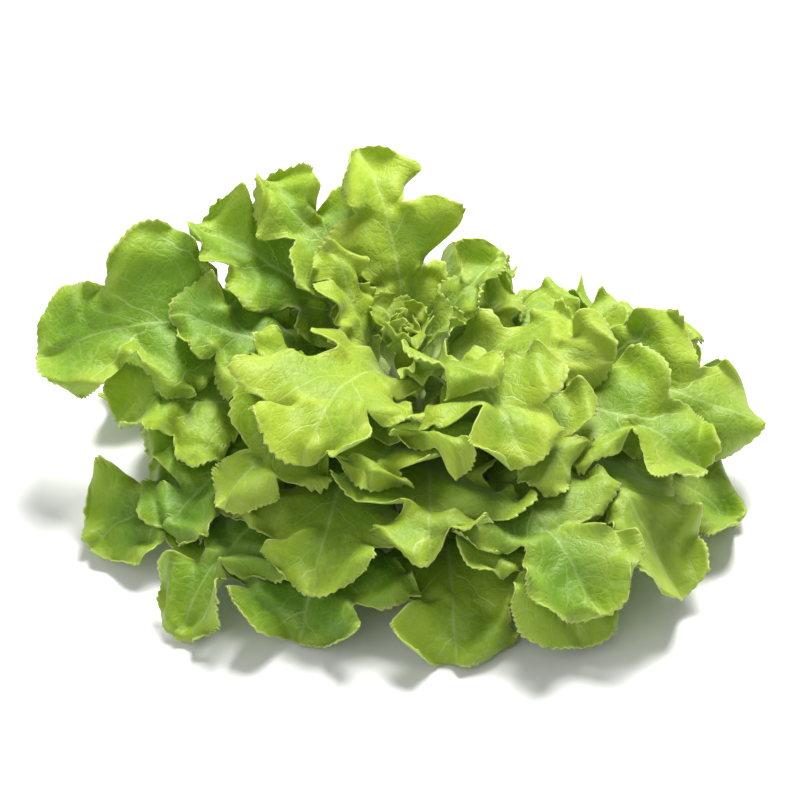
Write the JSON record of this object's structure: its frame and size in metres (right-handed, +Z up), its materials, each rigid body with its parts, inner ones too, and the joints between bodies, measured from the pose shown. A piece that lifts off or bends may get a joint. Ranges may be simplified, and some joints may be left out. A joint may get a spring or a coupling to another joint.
{
  "type": "green oakleaf lettuce head",
  "caption": "Loose head of green oakleaf lettuce: lobed, ruffled leaves in an open rosette round a short cut stem.",
  "frame": {"origin": "middle of the stem's flat cut face, on which the head stands", "axes": "+Z up through the stem to the heart, +X to the right as seen from the picture's side, which is -Y"},
  "size_m": [0.2779, 0.2297, 0.1158],
  "materials": {
    "outer_leaf": "satin leaf, yellow-green, lets some light through",
    "middle_leaf": "satin leaf, yellow-green, lets some light through",
    "upper_leaf": "satin leaf, pale yellow-green, lets some light through",
    "heart": "satin young leaf, pale yellow-green",
    "stem": "matte cut core, pale green-white"
  },
  "bodies": {
    "root": {"outer_leaf_01": "outer_leaf", "outer_leaf_02": "outer_leaf", "outer_leaf_03": "outer_leaf", "outer_leaf_04": "outer_leaf", "outer_leaf_05": "outer_leaf", "outer_leaf_06": "outer_leaf", "outer_leaf_07": "outer_leaf", "outer_leaf_08": "outer_leaf", "outer_leaf_09": "outer_leaf", "outer_leaf_10": "outer_leaf", "outer_leaf_11": "outer_leaf", "outer_leaf_12": "outer_leaf", "outer_leaf_13": "outer_leaf", "middle_leaf_01": "middle_leaf", "middle_leaf_02": "middle_leaf", "middle_leaf_03": "middle_leaf", "middle_leaf_04": "middle_leaf", "middle_leaf_05": "middle_leaf", "middle_leaf_06": "middle_leaf", "middle_leaf_07": "middle_leaf", "middle_leaf_08": "middle_leaf", "middle_leaf_09": "middle_leaf", "middle_leaf_10": "middle_leaf", "middle_leaf_11": "middle_leaf", "middle_leaf_12": "middle_leaf", "middle_leaf_13": "middle_leaf", "middle_leaf_14": "middle_leaf", "middle_leaf_15": "middle_leaf", "middle_leaf_16": "middle_leaf", "upper_leaf_01": "upper_leaf", "upper_leaf_02": "upper_leaf", "upper_leaf_03": "upper_leaf", "upper_leaf_04": "upper_leaf", "upper_leaf_05": "upper_leaf", "upper_leaf_06": "upper_leaf", "upper_leaf_07": "upper_leaf", "upper_leaf_08": "upper_leaf", "upper_leaf_09": "upper_leaf", "upper_leaf_10": "upper_leaf", "upper_leaf_11": "upper_leaf", "upper_leaf_12": "upper_leaf", "upper_leaf_13": "upper_leaf", "heart": "heart", "stem": "stem"}
  },
  "joints": []
}
